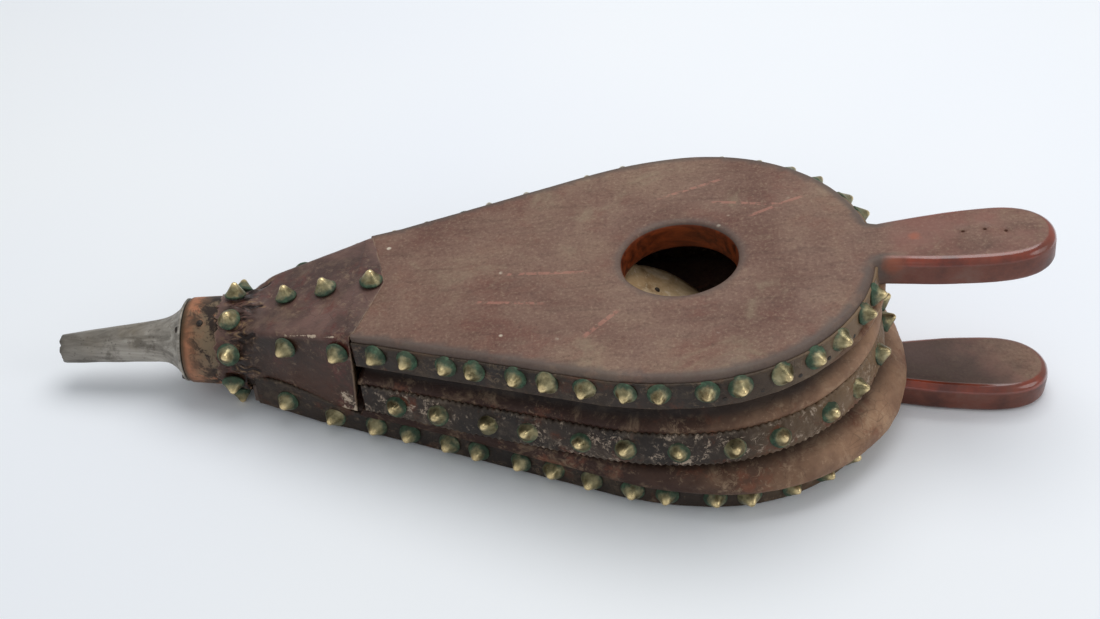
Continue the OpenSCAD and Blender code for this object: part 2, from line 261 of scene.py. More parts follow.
def board_mesh(half, hole=None, pits=(), uneven=1.0):
    """A board with rounded edges. half: (x, y, top radius, bottom radius) of its +Y side from front to rear.
    Returns points, faces and two attributes: worn (0 on the flats, 1 on the sides, 2 in holes) and arris."""
    path = half + [(x, -y, a, b) for x, y, a, b in reversed(half) if y > 0.01]
    n = len(path)
    co = np.array([(p[0], p[1]) for p in path])
    after, before = np.roll(co, -1, 0) - co, co - np.roll(co, 1, 0)
    after /= np.linalg.norm(after, axis=1)[:, None]
    before /= np.linalg.norm(before, axis=1)[:, None]
    normal = after + before
    normal = np.stack([-normal[:, 1], normal[:, 0]], 1)
    normal /= np.linalg.norm(normal, axis=1)[:, None]
    mitre = 1 / np.maximum(0.6, np.abs(normal[:, 0] * -after[:, 1] + normal[:, 1] * after[:, 0]))
    verts, edge_wear, arris, steps = [], [], [], 7
    for k in range(2 * steps):
        top = k >= steps
        a = pi / 2 * ((k - steps) / (steps - 1) if top else (k / (steps - 1) - 1))
        for (x, y, rt, rb), (nx, ny), m in zip(path, normal, mitre):
            r = rt if top else rb
            dent = uneven * (0.35 * wave(x * 0.05, y * 0.05, 3) + 0.15 * wave(x * 0.21, y * 0.21, 8))
            d = -r + r * cos(a) + dent * cos(a)
            verts.append((x + nx * d * m, y + ny * d * m, (BOARD_T - r if top else r) + r * sin(a)))
            edge_wear.append(0.4 + 0.6 * sin(pi / 2 * cos(a)) if top else 1.0)
            arris.append(max(0.0, sin(2 * a)) if top else 0.0)
    faces = grid_faces(2 * steps, n, around=True)

    def ring_from(start, count):
        return [(start + k, *verts[start + k][:2]) for k in range(count)]

    bottom_ring, top_ring = ring_from(0, n), ring_from((2 * steps - 1) * n, n)
    bottom_hole = top_hole = None
    if hole:
        (hx, hr), around, base = hole, 72, len(verts)
        profile = [(2.0, 0.0), (0.6, 0.35), (0.1, 1.4), (0, 3), (0, 8), (0, BOARD_T - 4), (0.15, BOARD_T - 2),
                   (0.8, BOARD_T - 0.7), (2.4, BOARD_T)]
        for d, z in profile:
            for _, c, s in circle(around):
                r = hr + d + 0.25 * wave(3 * c, 3 * s, z * 0.1)
                verts.append((hx + r * c, r * s, z))
                edge_wear.append(2.0 if z < BOARD_T - 1.2 else 0.3)
        faces += grid_faces(len(profile), around, around=True, start=base)
        bottom_hole, top_hole = ring_from(base, around), ring_from(len(verts) - around, around)
    for ring, inner, z, up in ((bottom_ring, bottom_hole, 0, False), (top_ring, top_hole, BOARD_T, True)):
        keys, net, tris = cap(ring, inner, pits if up else ())
        start = len(verts)
        for x, y, depth in net:
            near = min(1.0, min(hypot(x - v[1], y - v[2]) for v in ring[::3]) / 14)
            lift = (0.30 * wave(x * 0.02, y * 0.035, 5) + 0.12 * wave(x * 0.09, y * 0.12, 9)) * near if up else 0
            verts.append((x, y, z + lift - depth))
            edge_wear.append(2.0 if depth > 1 else 0.0)
        for t in tris:
            f = [keys[k] if k < len(keys) else start + k - len(keys) for k in t]
            (x0, y0), (x1, y1), (x2, y2) = (verts[k][:2] for k in f)
            ccw = (x1 - x0) * (y2 - y0) - (x2 - x0) * (y1 - y0) > 0
            faces.append(tuple(f if ccw == up else f[::-1]))
    arris += [0.0] * (len(verts) - len(arris))
    return verts, faces, edge_wear, arris


FILLET = 3                                 # length of the fillet where a handle meets its board


def handle_half(v):
    """Half the handle's width at a share v of its length."""
    return mix(HANDLE_NECK, HANDLE_HW, sin(pi / 2 * min(1.0, v / HANDLE_STRAIGHT)))


def board_half(start, front_r, body_r, handle_r, side_of=edge):
    """The +Y half of a board with its handle: straight taper, arc, round end, small fillet, handle."""
    meet = asin((HANDLE_NECK + 1.2) / BELLY_R)
    t_end = EDGE_LEN - BELLY_R * meet
    half = []
    n = int((t_end - start) / 4)
    for i in range(n + 1):
        x, y, _, _ = side_of(mix(start, t_end, i / n))
        r = mix(front_r, body_r, min(1.0, i / 4))
        half.append((x, y, r, r))
    x0, y0, x1, length = *half[-1][:2], BELLY_X + BELLY_R + FILLET, HANDLE_LEN - FILLET
    for v in (0.25, 0.5, 0.75):
        u, r = 1 - v, mix(body_r, handle_r, v)
        half.append((u * u * x0 + 2 * u * v * (x0 + 1.2) + v * v * x1,
                     u * u * y0 + 2 * u * v * (HANDLE_NECK + 0.3) + v * v * HANDLE_NECK, r, r * 0.8))
    steps = 16
    for i in range(2 * steps + 1):
        end = sin(pi / 2 * max(0, i - steps) / steps)
        v = HANDLE_STRAIGHT * min(1, i / steps) + (1 - HANDLE_STRAIGHT) * end
        y = handle_half(v) * max(0.0, 1 - end ** 2.6) ** 0.5
        half.append((x1 + length * v, y, handle_r, handle_r * 0.7))
    return half


def stud_positions(n, first, last):
    """Distances along the side of a row of studs, as part.scad spaces them."""
    return [first + (last - first) * i / (n - 1) + 1.8 * sin(radians(i * 211)) for i in range(n)]


def band_mesh(place, w0, w1, low, high, studs, ripple, seed, belly, teeth=(0, 0), pitch=3.4, side_of=edge):
    """A leather strip nailed to a side. low and high: heights as functions of w. teeth: depth cut into each edge.
    belly(w, share of the width) adds to how far it stands out."""
    columns = int((w1 - w0) / 0.85) + 1
    rows = [0, 0.0, 0.02, 0.06, 0.14, 0.3, 0.5, 0.7, 0.86, 0.94, 0.98, 1.0, 1.0]
    rise = [0, 0.45, 0.85, 1, 1, 1, 1, 1, 1, 1, 0.85, 0.45, 0]
    verts, run, across = [], [], []
    for i in range(columns):
        w = mix(w0, w1, i / (columns - 1))
        zig = abs((w / pitch) % 1 * 2 - 1)
        a = low(w) + teeth[0] * zig * (0.75 + 0.5 * wave(w * 0.3, seed, 2)) + 0.25 * wave(w * 0.11, seed, 5)
        b = high(w) - teeth[1] * zig * (0.75 + 0.5 * wave(w * 0.3, seed, 7)) + 0.25 * wave(w * 0.13, seed, 9)
        for r, up in zip(rows, rise):
            z = mix(a, b, r)
            d = LEATHER_T * up + belly(w, r)
            if up == 1:
                d += ripple * wave(w * 0.12, z * 0.16, seed) + 0.4 * ripple * wave(w * 0.45, z * 0.5, seed + 3)
                for s, zs in studs:
                    gap = hypot(w - s, z - zs)
                    if gap < 16:
                        d -= 0.55 * exp(-((gap / 8.5) ** 2)) - 0.18 * exp(-(((gap - 9) / 2.2) ** 2))
            x, y = rim(w, max(0.05, d), side_of)
            verts.append(place(x, y, z))
            run.append(w)
            across.append(r)
    n = len(rows)
    ends = [tuple(range(n)), tuple((columns - 1) * n + k for k in reversed(range(n)))]
    back = [(i * n, (i + 1) * n - 1, (i + 2) * n - 1, (i + 1) * n) for i in range(columns - 1)]
    return verts, grid_faces(columns, n) + ends + back, run, across


def stud_mesh(points, lift=0.0):
    """Cone-headed nails, tilted up by lift (radians). points: (place on the surface, outward direction)."""
    profile = [(5.4, -0.6), (5.8, 0.1), (5.8, 0.5), (5.5, 0.85), (5.1, 1.3), (4.5, 2.15), (3.8, 3.15),
               (3.1, 4.15), (2.45, 5.1), (1.9, 5.95), (1.4, 6.6), (0.85, 7.0), (0.35, 7.18), (0.0, STUD_H)]
    around = 28
    verts, faces, rise, token = [], [], [], []
    for place, out in points:
        out = (out.normalized() + Vector((0, 0, tan(lift)))
               + Vector([rnd.uniform(-1, 1) * 0.1 for _ in range(3)])).normalized()
        side = out.orthogonal().normalized()
        other = out.cross(side)
        turn, size, tall = rnd.uniform(0, 6.28), rnd.uniform(0.95, 1.04), rnd.uniform(0.93, 1.03)
        squash, seed = rnd.uniform(-0.04, 0.04), rnd.uniform(0, 50)
        start = len(verts)
        for r, h in profile[:-1]:
            for a, c, s in circle(around):
                facet = 1 + 0.045 * cos(3 * a + turn) * smooth(0.5, 4, h)
                dent = 1 + 0.035 * wave(2 * c, 2 * s, seed + h * 0.3)
                rr = r * size * facet * dent
                across = side * (rr * c * (1 + squash)) + other * (rr * s * (1 - squash))
                verts.append(place + across + out * (h * tall))
                rise.append(max(0.0, h) / STUD_H)
                token.append(seed)
        verts.append(place + out * (profile[-1][1] * tall))
        rise.append(1)
        token.append(seed)
        faces += grid_faces(len(profile) - 1, around, around=True, start=start)
        tip = len(verts) - 1
        ring = tip - around
        faces += [(ring + k, tip, ring + (k + 1) % around) for k in range(around)]
        faces.append(tuple(start + k for k in range(around)))
    return verts, [f[::-1] for f in faces], rise, token


def side_studs(place, distances, z, offset, side_of=edge):
    """Places and directions of a row of studs on both sides, offset mm outside the outline."""
    points = []
    for t in distances:
        x, y, nx, ny = side_of(t)
        for side in (1, -1):
            base = place(x + nx * offset, side * (y + ny * offset), z)
            out = place(x + nx * (offset + 1), side * (y + ny * (offset + 1)), z) - base
            points.append((base, out))
    return points


def turned(profile, centre, around, rough, seed):
    """A turned shape: profile of (x, radius); centre(x) gives the axis point and direction there."""
    verts = []
    for x, r in profile:
        middle, ahead = centre(x)
        side = Vector((0, 1, 0))
        up = ahead.cross(side).normalized()
        for _, c, s in circle(around):
            rr = r + rough * wave(2 * c, 2 * s, x * 0.08 + seed)
            verts.append(middle + side * (rr * c) + up * (rr * s))
    return verts, [f[::-1] for f in grid_faces(len(profile), around, around=True, closed=True)]


# ------------------------------------------------------------------ materials
def srgb(r, g, b):
    """Linear colour from 0-255 sRGB."""
    return tuple(((c / 255 + 0.055) / 1.055) ** 2.4 if c > 10 else c / 255 / 12.92 for c in (r, g, b))


def rgba(colour):
    """Four values from a colour or a grey level."""
    return (*colour, 1) if hasattr(colour, "__len__") else (colour, colour, colour, 1)


def at(x):
    """Scene X, in metres, of a place x mm from the hinge line."""
    return (HINGE.x + x) / 1000


class Material:
    """A small writer for shader graphs. Inputs are given by name, with _ for a space, or as iN by number. Sockets
    are linked and values are set."""

    def __init__(self, name, **principled):
        self.mat = bpy.data.materials.new(name)
        self.mat.use_nodes = True
        self.tree = self.mat.node_tree
        self.bsdf = self.tree.nodes["Principled BSDF"]
        self.co = self.node("ShaderNodeTexCoord").outputs["Object"]
        self.colour = None
        self.put(self.bsdf, principled)

    def put(self, node, inputs):
        for key, value in inputs.items():
            by_number = key[0] == "i" and key[1:].isdigit()
            socket = node.inputs[int(key[1:]) if by_number else key.replace("_", " ")]
            if isinstance(value, bpy.types.NodeSocket):
                self.tree.links.new(value, socket)
            else:
                socket.default_value = rgba(value) if socket.type == "RGBA" else value

    def finish(self, rough, normal, **more):
        """Puts the colour, roughness, normal and more on the shader and returns the material."""
        self.put(self.bsdf, {"Base Color": self.colour, "Roughness": rough, "Normal": normal, **more})
        return self.mat

    def node(self, kind, settings=None, **inputs):
        n = self.tree.nodes.new(kind)
        for key, value in (settings or {}).items():
            setattr(n, key, value)
        self.put(n, inputs)
        return n

    def math(self, operation, a, b=0.0):
        return self.node("ShaderNodeMath", {"operation": operation}, i0=a, i1=b).outputs[0]

    def mul(self, *values):
        return reduce(partial(self.math, "MULTIPLY"), values)

    def add(self, *values):
        return reduce(partial(self.math, "ADD"), values)

    def vector(self, operation, a, b, output=0):
        return self.node("ShaderNodeVectorMath", {"operation": operation}, i0=a, i1=b).outputs[output]

    def stretched(self, *scale):
        return self.vector("MULTIPLY", self.co, scale)

    def xyz(self):
        return self.node("ShaderNodeSeparateXYZ", i0=self.co).outputs

    def noise(self, scale, detail=4.0, rough=0.55, bend=0.0, co=None):
        return self.node("ShaderNodeTexNoise", Vector=co or self.co, Scale=scale, Detail=detail, Roughness=rough,
                         Distortion=bend).outputs[0]

    def wobble(self, amount, *settings):
        """Noise about 0."""
        return self.mul(self.math("SUBTRACT", self.noise(*settings), 0.5), amount)

    def cells(self, scale, feature="F1", co=None):
        return self.node("ShaderNodeTexVoronoi", {"feature": feature}, Vector=co or self.co,
                         Scale=scale).outputs["Distance"]

    def attribute(self, name):
        return self.node("ShaderNodeAttribute", {"attribute_name": name}).outputs["Fac"]

    def step(self, value, low, high):
        """0 below low, 1 above high."""
        return self.node("ShaderNodeMapRange", {"interpolation_type": "SMOOTHSTEP"}, i0=value, i1=low,
                         i2=high).outputs[0]

    def patchy(self, low, high, *settings):
        """Noise through step."""
        return self.step(self.noise(*settings), low, high)

    def spot(self, centre, inner, outer):
        """1 within inner mm of a point given in mm, 0 beyond outer, with a ragged border."""
        gap = self.vector("DISTANCE", self.co, Vector(centre) / 1000, "Value")
        ragged = self.add(gap, self.mul(self.noise(140, 5, 0.7), 0.008))
        return self.step(ragged, outer / 1000 + 0.004, inner / 1000 + 0.004)

    def stroke(self, x0, y0, x1, y1, width):
        """1 along a scratch between two points, in mm from the hinge line, seen from above."""
        a, b = Vector((at(x0), y0 / 1000, 0)), Vector((at(x1), y1 / 1000, 0))
        ahead = (b - a).normalized()
        across = Vector((-ahead.y, ahead.x, 0))
        from_start = self.vector("SUBTRACT", self.co, a)
        u, v = (self.vector("DOT_PRODUCT", from_start, d, "Value") for d in (ahead, across))
        wander = self.math("ABSOLUTE", self.add(v, self.mul(self.noise(60, 3), 0.0015)))
        line = self.step(self.math("SUBTRACT", wander, 0.00075), width / 1000, width / 3000)
        ends = self.mul(self.step(u, 0, 0.003), self.step(u, (b - a).length, (b - a).length - 0.004))
        return self.mul(line, ends, self.patchy(0.4, 0.55, 320, 3))

    def mix(self, share, a, b):
        return self.node("ShaderNodeMix", {"data_type": "RGBA"}, i0=share, i6=a, i7=b).outputs[2]

    def tint(self, target, *masks):
        """Lays a colour over the surface's colour, as far as the product of the masks."""
        self.colour = self.mix(self.mul(*masks), self.colour, target)

    def ramp(self, value, *stops):
        n = self.node("ShaderNodeValToRGB", i0=value)
        for i, (place, colour) in enumerate(stops):
            e = n.color_ramp.elements[i] if i < 2 else n.color_ramp.elements.new(place)
            e.position, e.color = place, rgba(colour)
        return n.outputs[0]

    def bumps(self, *layers):
        """The normal of bump maps laid one on another, each (height, strength, distance)."""
        normal = None
        for height, strength, distance in layers:
            n = self.node("ShaderNodeBump", Height=height, Strength=strength, Distance=distance)
            if normal is not None:
                self.tree.links.new(normal, n.inputs["Normal"])
            normal = n.outputs[0]
        return normal


def board_wood(name, bare=(), scratches=()):
    """Old stained board: dusty red-brown with pale specks, grey rubbed edges, and a varnished handle with glossy
    arrises. bare: places where the stain has come off, (centre, radius). scratches: (x0, y0, x1, y1, width)."""
    m = Material(name, Specular_IOR_Level=0.35)
    grain = m.noise(48, 7, 0.62, 0.5, m.stretched(1, 4.5, 4.5))
    m.colour = m.ramp(m.noise(13, 6, 0.66, 0.5), (0.34, srgb(104, 72, 60)), (0.48, srgb(120, 90, 76)),
                      (0.62, srgb(134, 107, 89)))
    m.tint(srgb(112, 60, 48), m.patchy(0.48, 0.66, 24, 7, 0.72), 0.42)
    m.tint(srgb(74, 50, 40), m.step(grain, 0.5, 0.72), 0.35)
    weave = m.noise(620, 5, 0.72)
    m.tint(srgb(160, 138, 114), m.step(weave, 0.5, 0.7), 0.45)
    m.tint(srgb(70, 46, 36), m.step(weave, 0.48, 0.32), 0.5)
    m.tint(srgb(150, 136, 110), m.patchy(0.52, 0.68, 19, 7, 0.74, 0.8), 0.36)
    m.tint(srgb(200, 186, 166), m.step(m.cells(70), 0.11, 0.05), m.patchy(0.54, 0.6, 25, 2))
    scratch = 0.0
    for stroke in scratches:
        scratch = m.math("MAXIMUM", m.stroke(*stroke), scratch)
    m.tint(srgb(182, 124, 106), scratch, 0.45)
    x, _, z = m.xyz()
    handle = m.step(x, at(256), at(272))
    shine = m.patchy(0.35, 0.6, 26, 4, 0.6)
    m.tint(srgb(132, 84, 72), handle, m.mul(shine, 0.6))
    # painted shadow: the lower handle's top is darkened near the board, where the upper handle's shadow falls
    handle_shadow_paint = m.mul(m.step(z, 0.03, 0.024), m.step(m.add(x, m.wobble(0.1, 22, 5, 0.7)), at(345), at(295)))
    m.tint(srgb(62, 44, 38), handle, handle_shadow_paint, 0.75)
    worn, arris = m.attribute("worn"), m.attribute("arris")
    scuffed = m.mul(m.step(worn, 0.03, 0.45), m.patchy(0.15, 0.48, 60, 4, 0.65))
    m.tint(srgb(84, 74, 68), scuffed, m.math("SUBTRACT", 1.0, handle), 0.76)
    wall = m.step(worn, 1.2, 1.7)
    m.tint(m.ramp(grain, (0.35, srgb(68, 26, 8)), (0.62, srgb(132, 60, 26))), wall)
    varnish = m.mul(m.step(worn, 0.42, 0.75), m.step(worn, 1.5, 1.1), handle)
    stain = m.ramp(m.noise(40, 6, 0.68), (0.34, srgb(78, 40, 30)), (0.52, srgb(112, 60, 45)),
                   (0.7, srgb(118, 82, 70)))
    m.tint(stain, varnish, 0.92)
    sheen = m.mul(m.step(arris, 0.04, 0.6), m.patchy(0.28, 0.46, 30, 4, 0.6), handle)
    m.tint(srgb(116, 60, 42), sheen, 0.5)
    lacquer = m.mul(sheen, m.patchy(0.4, 0.6, 17, 5, 0.7))
    m.tint(m.ramp(m.noise(50, 5, 0.65), (0.35, srgb(92, 34, 20)), (0.65, srgb(156, 58, 28))), lacquer, 0.85)
    for centre, radius in bare:
        m.tint(srgb(158, 86, 60), m.spot(centre, radius * 0.2, radius), 0.65)
    rough = m.ramp(m.noise(34, 5, 0.65), (0.3, 0.5), (0.7, 0.68))
    rough = m.mix(m.mul(handle, shine), rough, 0.42)
    rough = m.mix(m.math("MAXIMUM", varnish, m.mul(wall, 0.6)), rough, 0.36)
    normal = m.bumps((grain, 0.3, 0.0005), (weave, m.math("SUBTRACT", 0.4, m.mul(sheen, 0.39)), 0.0003),
                     (m.mul(scratch, -1.0), 0.4, 0.0002))
    return m.finish(m.mix(sheen, rough, 0.17), normal, Coat_Weight=sheen, Coat_Roughness=0.12)


def raw_wood(name, dark, pale, grime_amount=0.5, contrast=1.0, dirty_from=None):
    """Bare wood with grain and grime. dirty_from: where its dark part starts, in mm from the hinge line."""
    m = Material(name, Specular_IOR_Level=0.3)
    grain = m.noise(42, 6, 0.62, 0.6, m.stretched(0.6, 5, 5))
    m.colour = m.ramp(grain, (0.5 - 0.18 / contrast, dark), (0.5 + 0.16 / contrast, pale))
    m.tint(tuple(0.5 * (a + b) for a, b in zip(dark, pale)), m.patchy(0.4, 0.66, 38, 4, 0.6), 0.5)
    m.tint(tuple(c * 0.3 for c in dark), m.patchy(0.47, 0.68, 55, 6, 0.7, 0.5), grime_amount)
    if dirty_from:
        x = m.xyz()[0]
        near = m.step(m.add(x, m.mul(m.noise(60, 5, 0.7), 0.03)), at(dirty_from + 6), at(dirty_from + 24))
        m.tint(srgb(118, 100, 78), near, m.patchy(0.36, 0.5, 85, 5, 0.7))
        m.tint(srgb(42, 28, 20), near, m.patchy(0.45, 0.56, 110, 6, 0.75, 0.5))
        m.tint(srgb(58, 50, 30), m.step(x, at(dirty_from - 3), at(dirty_from - 6)), 0.8)
    return m.finish(m.ramp(grain, (0.3, 0.48), (0.7, 0.66)), m.bumps((grain, 0.35, 0.0005)))


def leather(name, base, dark, worn, scratch, rust, gloss, patches, edge_worn=0.0, faded=None, cuff=False,
            gusset=None):
    """Old leather: pebbled grain, creases, rubbed patches, flaking edges where there is an across attribute.
    faded: the colour that a strip fades to round the rear. cuff: sides painted darker as shade under a lighter
    top, rubbed patches on the top only, a torn ring with painted shade in its folds and tucks and painted
    highlights
    beside them, and rubbed corners. gusset: the colour at the front, with the folds painted near black as shade."""
    m = Material(name, Specular_IOR_Level=0.35)
    cloud = m.noise(28, 6, 0.62, 0.3)
    m.colour = m.mix(m.step(cloud, 0.34, 0.66), dark, base)
    if gusset:
        along = m.add(m.attribute("rear"), m.wobble(0.5, 20, 5, 0.7))
        m.colour = m.mix(m.step(along, 0.42, 0.92), gusset, m.colour)
    if faded:
        run = m.add(m.math("ABSOLUTE", m.attribute("run")), m.mul(m.noise(30, 5, 0.7), 80.0))
        m.tint(faded, m.step(run, 190.0, 70.0), 0.75)
    rub = [m.patchy(0.5, 0.7, 62, 7, 0.72, 0.5), patches]
    if cuff:
        # painted shade and light: rubbed patches stay on the top, and the sides take a darker colour than the top,
        # standing for how the light falls
        rub.append(m.attribute("top"))
        side = m.ramp(cloud, (0.35, srgb(44, 29, 20)), (0.6, srgb(74, 45, 31)))
        m.colour = m.mix(m.attribute("top"), side, m.colour)
    m.tint(worn, *rub)
    m.tint(rust, m.patchy(0.53, 0.68, 44, 6, 0.72), 0.75)
    cracks = m.mul(m.step(m.cells(170, "DISTANCE_TO_EDGE", m.stretched(0.6, 1, 1.6)), 0.035, 0.0),
                   m.patchy(0.45, 0.6, 30, 3))
    m.tint(tuple(c * 0.4 for c in dark), cracks, 0.4)
    flakes = m.mul(m.patchy(0.52, 0.62, 260, 6, 0.8, 0.6), m.patchy(0.43, 0.56, 48, 4, 0.65))
    m.tint(worn, flakes, scratch)
    if edge_worn:
        across = m.attribute("across")
        brink = m.math("MAXIMUM", m.step(across, 0.1, 0.0), m.step(across, 0.9, 1.0))
        m.tint(worn, brink, m.patchy(0.38, 0.55, 120, 5, 0.7), edge_worn)
    if cuff:
        # painted shade and highlights: dark lines in the ring's folds stand for shade, and beige beside them for
        # highlights
        slit_shade_and_highlight = m.noise(150, 5, 0.7, 0.8, m.stretched(0.5, 1.3, 1.3))
        at_ring = m.attribute("ring")
        m.tint(srgb(34, 20, 14), at_ring, m.step(slit_shade_and_highlight, 0.47, 0.55))
        m.tint(srgb(140, 112, 82), at_ring, m.step(slit_shade_and_highlight, 0.43, 0.36))
        # painted highlights on the sides of each tuck and painted shade in its middle
        tuck = m.add(m.attribute("tuck"), m.wobble(1.3, 170, 5, 0.75))
        near_tuck = m.step(m.attribute("tuck"), 0.02, 0.2)
        m.tint(srgb(138, 110, 80), near_tuck, m.step(tuck, 0.1, 0.4), m.patchy(0.46, 0.56, 75, 4, 0.7), 0.8)
        m.tint(srgb(32, 14, 8), near_tuck, m.step(tuck, 0.5, 0.75))
        torn = m.add(m.noise(230, 6, 0.75, 0.5), m.mul(m.math("SUBTRACT", m.attribute("rubbed"), 1.0), 0.3))
        m.tint(srgb(190, 170, 148), m.step(torn, 0.47, 0.56))
    if gusset:
        # painted shade: the shade attribute darkens folds and creases towards near black
        m.colour = m.mix(m.attribute("shade"), m.mix(0.85, m.colour, srgb(20, 9, 5)), m.colour)
    normal = m.bumps((m.cells(760, "SMOOTH_F1"), 0.25, 0.0002), (m.noise(150, 6, 0.7, 0.5), 0.5, 0.0008),
                     (m.mul(cracks, -1.0), 0.35, 0.0003), (flakes, m.mul(flakes, 0.3), 0.0003))
    return m.finish(m.ramp(m.noise(60, 4, 0.6), (0.3, gloss - 0.08), (0.7, gloss + 0.14)), normal)


def brass_studs():
    """Aged brass: a greenish brown film, bright tips that are partly rubbed brass and partly a painted highlight,
    and verdigris round the rims.
    """
    m = Material("aged_brass", Specular_IOR_Level=0.5)
    rise, token = m.attribute("rise"), m.attribute("token")
    film = m.noise(170, 5, 0.65)
    m.colour = m.ramp(film, (0.32, srgb(94, 86, 60)), (0.52, srgb(150, 140, 106)), (0.72, srgb(188, 176, 140)))
    # bright tips: partly rubbed brass, partly a painted highlight
    m.tint(srgb(232, 208, 156), m.step(rise, 0.62, 0.97), m.step(film, 0.3, 0.5))
    m.tint(srgb(96, 72, 44), m.patchy(0.52, 0.66, 90, 5, 0.7), 0.6)
    own = m.mul(m.math("SINE", m.mul(token, 7.3)), 0.16)
    green = m.step(m.add(rise, m.wobble(1.5, 105, 5, 0.65), own), 0.5, 0.1)
    verdigris = m.ramp(m.noise(260, 5, 0.7), (0.33, srgb(10, 36, 26)), (0.52, srgb(26, 64, 46)),
                       (0.66, srgb(60, 98, 74)), (0.78, srgb(106, 130, 104)))
    m.tint(verdigris, green, 0.9)
    rough = m.ramp(m.add(m.noise(200, 4, 0.65), m.mul(rise, -0.2)), (0.2, 0.25), (0.6, 0.46))
    normal = m.bumps((m.noise(380, 5, 0.65), 0.45, 0.0003), (green, 0.4, 0.0003))
    return m.finish(m.mix(green, rough, 0.75), normal, Metallic=m.ramp(green, (0.0, 0.85), (0.8, 0.05)))


def pewter():
    """Dull cast nozzle: grey, streaked along its length, dark in the dents and black where it meets the wood."""
    m = Material("grey_metal", Metallic=0.5, Specular_IOR_Level=0.45)
    streak = m.noise(70, 6, 0.68, 0.7, m.stretched(0.3, 2.2, 2.2))
    m.colour = m.ramp(streak, (0.3, srgb(104, 98, 89)), (0.5, srgb(152, 145, 135)), (0.72, srgb(196, 189, 178)))
    m.tint(srgb(76, 68, 58), m.patchy(0.53, 0.68, 70, 6, 0.72), 0.6)
    m.tint(srgb(128, 112, 86), m.patchy(0.5, 0.66, 24, 4, 0.6), 0.4)
    pits = m.step(m.cells(330), 0.2, 0.08)
    m.tint(srgb(60, 54, 48), pits, 0.4)
    old_tip = m.step(m.add(m.xyz()[0], m.mul(m.noise(50, 5, 0.7), 0.03)), at(-110), at(-140))
    m.tint(srgb(82, 76, 68), old_tip, 0.45)
    m.tint(srgb(40, 42, 30), m.step(m.attribute("worn"), 0.3, 0.9), 0.9)
    normal = m.bumps((streak, 0.6, 0.0008), (m.noise(260, 5, 0.7), 0.45, 0.0004),
                     (m.mul(pits, -1.0), 0.5, 0.0002))
    return m.finish(m.ramp(m.noise(90, 5, 0.65), (0.3, 0.4), (0.7, 0.68)), normal)


def iron():
    m = Material("dark_iron", Metallic=0.4, Specular_IOR_Level=0.5)
    n = m.noise(500, 4, 0.7)
    m.colour = m.ramp(n, (0.35, srgb(28, 26, 25)), (0.65, srgb(74, 62, 52)))
    return m.finish(m.ramp(n, (0.3, 0.45), (0.7, 0.75)), m.bumps((n, 0.5, 0.0002)))


WOOD = board_wood("varnished_wood", [(in_upper(276, 1, BOARD_T), 4), (in_upper(264.5, -16.5, 13), 7)],
                  [(113, -56, 131, -36, 0.7), (72, -1, 118, -5, 0.45), (60, -22, 96, -27, 0.35),
                   (196, 30, 226, 44, 0.4), (178, 46, 214, 38, 0.4), (150, 52, 186, 66, 0.35)])
HEAD_WOOD = raw_wood("head_wood", srgb(140, 82, 50), srgb(186, 126, 94), 0.4, 0.8, dirty_from=-86)
INNER_WOOD = raw_wood("inner_wood", srgb(112, 86, 60), srgb(160, 132, 98))
EDGE_LEATHER = leather("dark_leather", srgb(54, 41, 32), srgb(33, 24, 18), srgb(128, 108, 86), 0.45,
                       srgb(84, 44, 24), 0.52, 0.22, edge_worn=0.15, faded=srgb(134, 108, 80))
RIB_LEATHER = leather("rib_leather", srgb(56, 43, 34), srgb(30, 21, 15), srgb(180, 160, 140), 0.9,
                      srgb(100, 48, 22), 0.5, 0.2, edge_worn=0.12, faded=srgb(136, 106, 74))
CUFF_LEATHER = leather("cuff_leather", srgb(116, 86, 77), srgb(74, 53, 47), srgb(140, 116, 94), 0.5,
                       srgb(96, 46, 40), 0.4, 0.34, edge_worn=0.7, cuff=True)
GUSSET = leather("gusset_leather", srgb(172, 134, 104), srgb(126, 92, 70), srgb(196, 166, 134), 0.3,
                 srgb(122, 72, 50), 0.6, 0.35, gusset=srgb(50, 23, 11))
VALVE_LEATHER = leather("valve_leather", srgb(214, 186, 146), srgb(168, 136, 96), srgb(232, 216, 188), 0.5,
                        srgb(120, 92, 60), 0.7, 0.4)
BRASS, PEWTER, IRON = brass_studs(), pewter(), iron()

# ------------------------------------------------------------------ boards
NAIL_HOLES = [(300, 1.6), (310.5, 1.9), (320, -0.9)]
verts, faces, worn, arris = board_mesh(board_half(0.4, 0.6, 2.8, 4.6), (HOLE_X, HOLE_R), NAIL_HOLES)
relief = tan(radians(10))        # the upper board's front leans back, so that it can open
verts = [(max(x, 0.35 + (BOARD_T - z) * relief) if x < 6 else x, y, z) for x, y, z in verts]
piece("upper_board_wood", [in_upper(*v) for v in verts], faces, "upper_part", "varnished_wood", WOOD,
      ["upper_board"], worn=worn, arris=arris)

lower_front = -(HEAD_LEN - 0.6 + LOWER_SHIFT) / cos(TAPER)
verts, faces, worn, arris = board_mesh(board_half(lower_front, 1.5, 2.6, 4.6, lower_edge))
rise = tan(radians(6.2))         # and the lower board is thinned from below towards the head
verts = [(x, y, z + max(0, -22 - LOWER_SHIFT - x) * rise * (1 - z / BOARD_T)) for x, y, z in verts]
piece("lower_board_wood", [in_lower(*v) for v in verts], faces, "lower_part", "varnished_wood", WOOD,
      ["lower_board"], worn=worn, arris=arris)

# ------------------------------------------------------------------ strips along the edges
UPPER_STUDS = stud_positions(16, 13.5, EDGE_LEN - 30)
RIB_STUDS = stud_positions(13, 18, EDGE_LEN - 8)
LOWER_STUDS = stud_positions(16, -1, EDGE_LEN - 26) + [-24]
HANDLE_W = BELLY_R * asin((HANDLE_NECK + 0.4) / BELLY_R)


